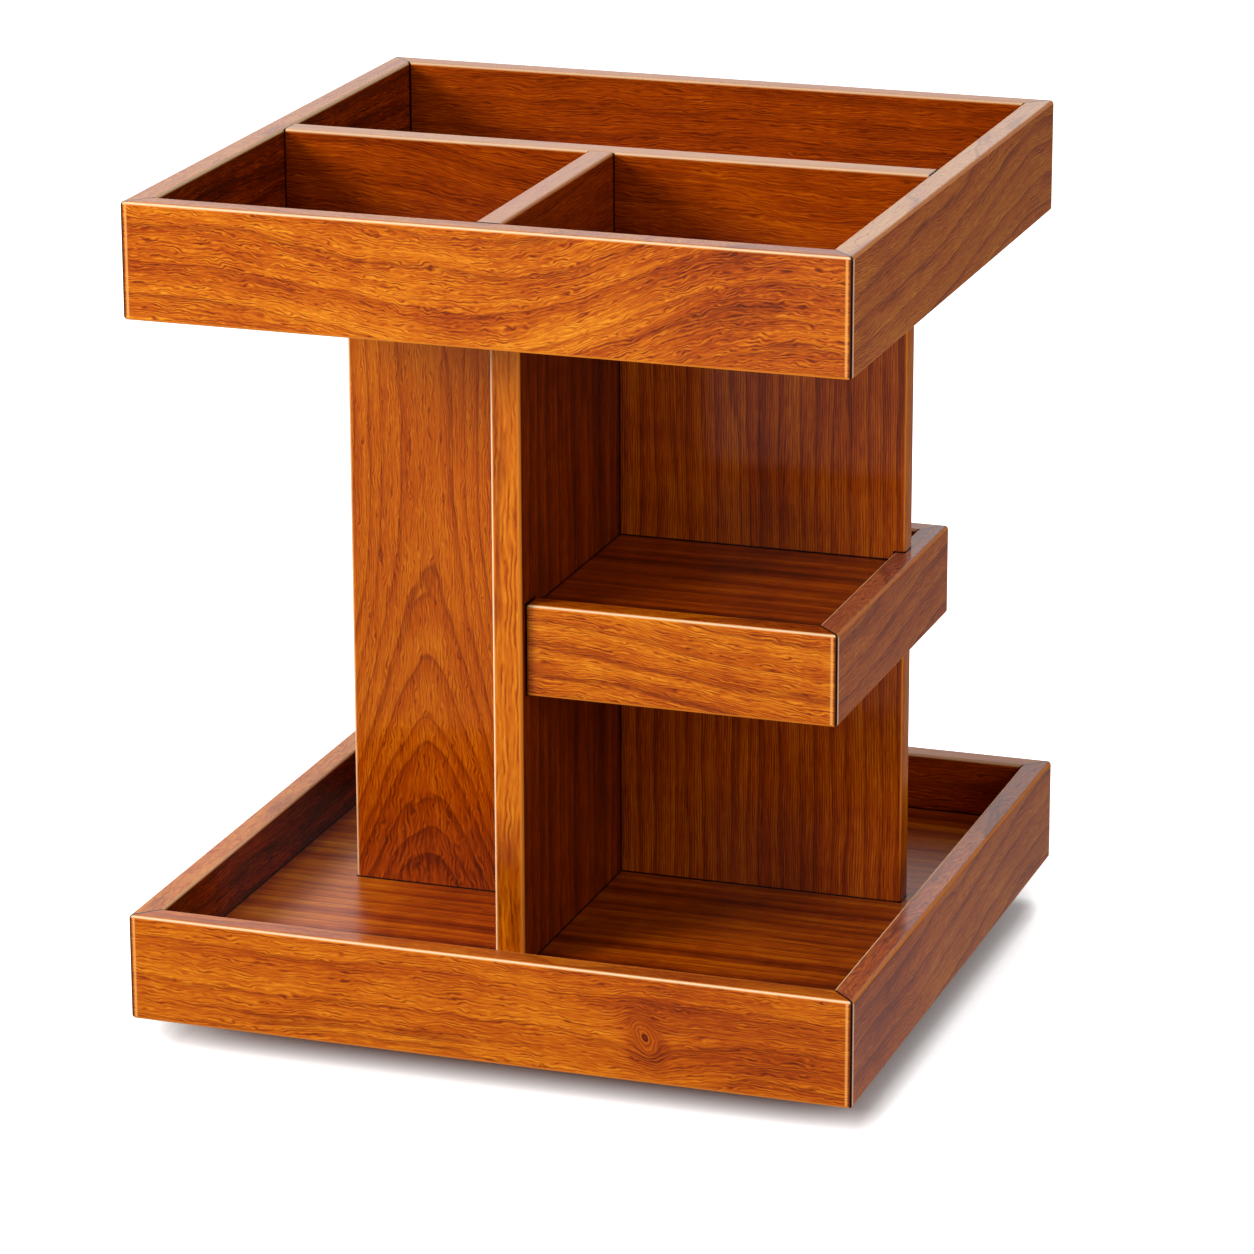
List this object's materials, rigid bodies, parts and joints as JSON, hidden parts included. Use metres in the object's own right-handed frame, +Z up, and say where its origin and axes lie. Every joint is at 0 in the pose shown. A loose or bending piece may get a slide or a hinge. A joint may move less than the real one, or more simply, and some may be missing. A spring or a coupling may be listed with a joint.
{
  "type": "rotating makeup organizer",
  "caption": "Square turntable organizer in varnished hardwood: open base tray, upright column with a side shelf, and a divided open top tray that all turn on a hidden ball bearing.",
  "frame": {"origin": "on the table, under the middle of the square base tray", "axes": "+Z up along the turning axis, +X to the right, front face towards -Y"},
  "size_m": [0.225, 0.225, 0.265],
  "materials": {
    "varnished_hardwood": "gloss varnish",
    "disc_plywood": "sanded, oiled",
    "dowel_beech": "raw",
    "plated_steel": "zinc plated",
    "screw_steel": "zinc plated",
    "ball_steel": "polished",
    "cage_brass": "stamped",
    "foot_rubber": "matt"
  },
  "bodies": {
    "stand": {"rubber_feet": "foot_rubber", "turntable_disc": "disc_plywood", "bearing_lower_plate": "plated_steel", "bearing_centre_ring": "plated_steel", "lower_plate_screws": "screw_steel"},
    "ball_race": {"bearing_balls": "ball_steel", "bearing_ball_cage": "cage_brass"},
    "tower": {"bearing_upper_plate": "plated_steel", "upper_plate_screws": "screw_steel", "base_floor": "varnished_hardwood", "column_base_screws": "screw_steel", "spine_panel": "varnished_hardwood", "left_wing_panel": "varnished_hardwood", "right_wing_panel": "varnished_hardwood", "shelf_floor": "varnished_hardwood", "shelf_dowels": "dowel_beech", "column_dowels": "dowel_beech", "top_floor": "varnished_hardwood", "long_divider": "varnished_hardwood", "cross_divider": "varnished_hardwood", "divider_dowels": "dowel_beech", "base_front_rail": "varnished_hardwood", "base_right_rail": "varnished_hardwood", "base_back_rail": "varnished_hardwood", "base_left_rail": "varnished_hardwood", "shelf_front_rail": "varnished_hardwood", "shelf_right_rail": "varnished_hardwood", "shelf_back_rail": "varnished_hardwood", "top_front_rail": "varnished_hardwood", "top_right_rail": "varnished_hardwood", "top_back_rail": "varnished_hardwood", "top_left_rail": "varnished_hardwood"}
  },
  "joints": [
    {"name": "tower_spin", "type": "hinge", "parent": "stand", "child": "tower", "pos_m": [0, 0, 0.01925], "axis": [0, 0, 1], "continuous": true},
    {"name": "race_spin", "type": "hinge", "parent": "stand", "child": "ball_race", "pos_m": [0, 0, 0.01925], "axis": [0, 0, 1], "continuous": true}
  ],
  "couplings": [
    {"joint": "race_spin", "follows": "tower_spin", "ratio": 0.5}
  ]
}
